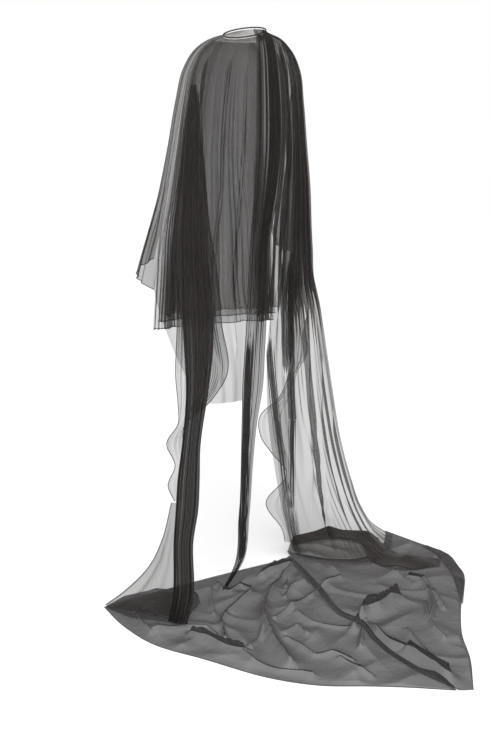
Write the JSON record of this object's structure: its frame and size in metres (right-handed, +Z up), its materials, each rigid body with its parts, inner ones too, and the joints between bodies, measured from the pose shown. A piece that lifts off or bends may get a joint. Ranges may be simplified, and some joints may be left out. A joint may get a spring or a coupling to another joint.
{
  "type": "kaftan",
  "caption": "Sheer black silk kaftan worn loose: gathered short front, wide sleeves and a long open back that spreads into a pointed train.",
  "frame": {"origin": "between the shoulders, at the height of their tops, where the wearer carries the garment", "axes": "+Z up, the wearer faces -Y, and the wearer's left is +X"},
  "size_m": [0.9953, 1.0753, 1.5091],
  "materials": {
    "sheer_silk": "matt sheer silk chiffon",
    "gathered_silk": "the same chiffon, tightly gathered",
    "tab": "dark woven tape"
  },
  "bodies": {
    "root": {"neck_binding": "gathered_silk", "neck_tab": "tab", "front_outer": "sheer_silk", "front_middle": "sheer_silk", "front_under": "sheer_silk", "sleeve_left": "sheer_silk", "sleeve_right": "sheer_silk", "back_left": "sheer_silk", "back_gather": "gathered_silk", "back_right": "sheer_silk", "fall_left_band": "gathered_silk", "fall_left_hem": "sheer_silk", "gore_left": "sheer_silk", "fall_right": "sheer_silk", "train_left": "sheer_silk", "train_right": "sheer_silk"}
  },
  "joints": []
}
